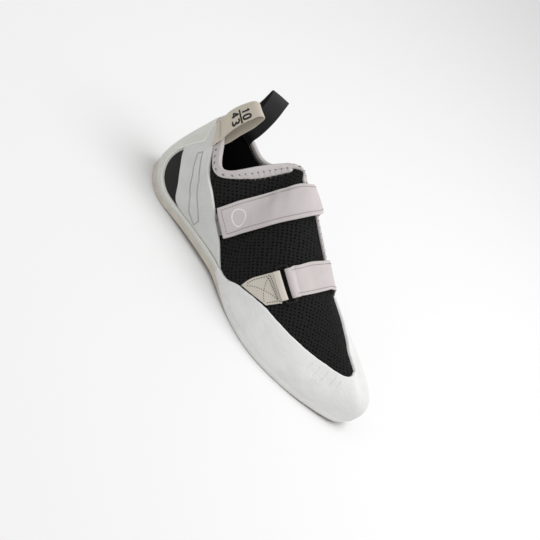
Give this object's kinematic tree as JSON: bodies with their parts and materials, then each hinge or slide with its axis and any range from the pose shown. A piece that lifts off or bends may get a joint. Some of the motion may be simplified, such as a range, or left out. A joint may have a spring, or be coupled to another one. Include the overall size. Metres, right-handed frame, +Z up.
{
  "type": "climbing shoe",
  "caption": "Low climbing shoe, right foot: hollow perforated upper, rubber toe rand, heel cup and slingshot bands, thin outsole, hook-and-pile straps, ring and heel pull loops.",
  "frame": {"origin": "middle of the shoe's bounding box on the ground it stands on", "axes": "+X towards the toe, +Y towards the inner (medial) side of the right foot, +Z up"},
  "size_m": [0.27, 0.0918, 0.1192],
  "materials": {
    "sole_rubber": "matt tan rubber, ground edge",
    "grey_rubber": "satin pale grey rubber, brushed",
    "insole_board": "dark lining over board",
    "black_mesh": "perforated black mesh",
    "black_lining": "soft black lining",
    "mauve_tape": "woven tape with zigzag stitching",
    "grey_pile": "loop pile",
    "mauve_microfibre": "brushed microfibre",
    "cream_suede": "suede",
    "black_plastic": "satin moulded plastic",
    "beige_webbing": "woven webbing",
    "black_webbing": "woven webbing"
  },
  "bodies": {
    "root": {"outsole": "sole_rubber", "insole": "insole_board", "upper": "black_mesh", "tongue": "black_lining", "toe_rand": "grey_rubber", "heel_cup": "grey_rubber", "slingshot_lateral": "grey_rubber", "slingshot_medial": "grey_rubber", "collar_binding": "mauve_tape", "throat_binding_lower": "mauve_tape", "throat_binding_upper": "mauve_tape", "pile_patch": "grey_pile", "upper_strap": "mauve_microfibre", "lower_strap": "mauve_microfibre", "strap_tab": "cream_suede", "strap_ring": "black_plastic", "pull_loop_lateral": "beige_webbing", "pull_loop_medial": "black_webbing"}
  },
  "joints": []
}
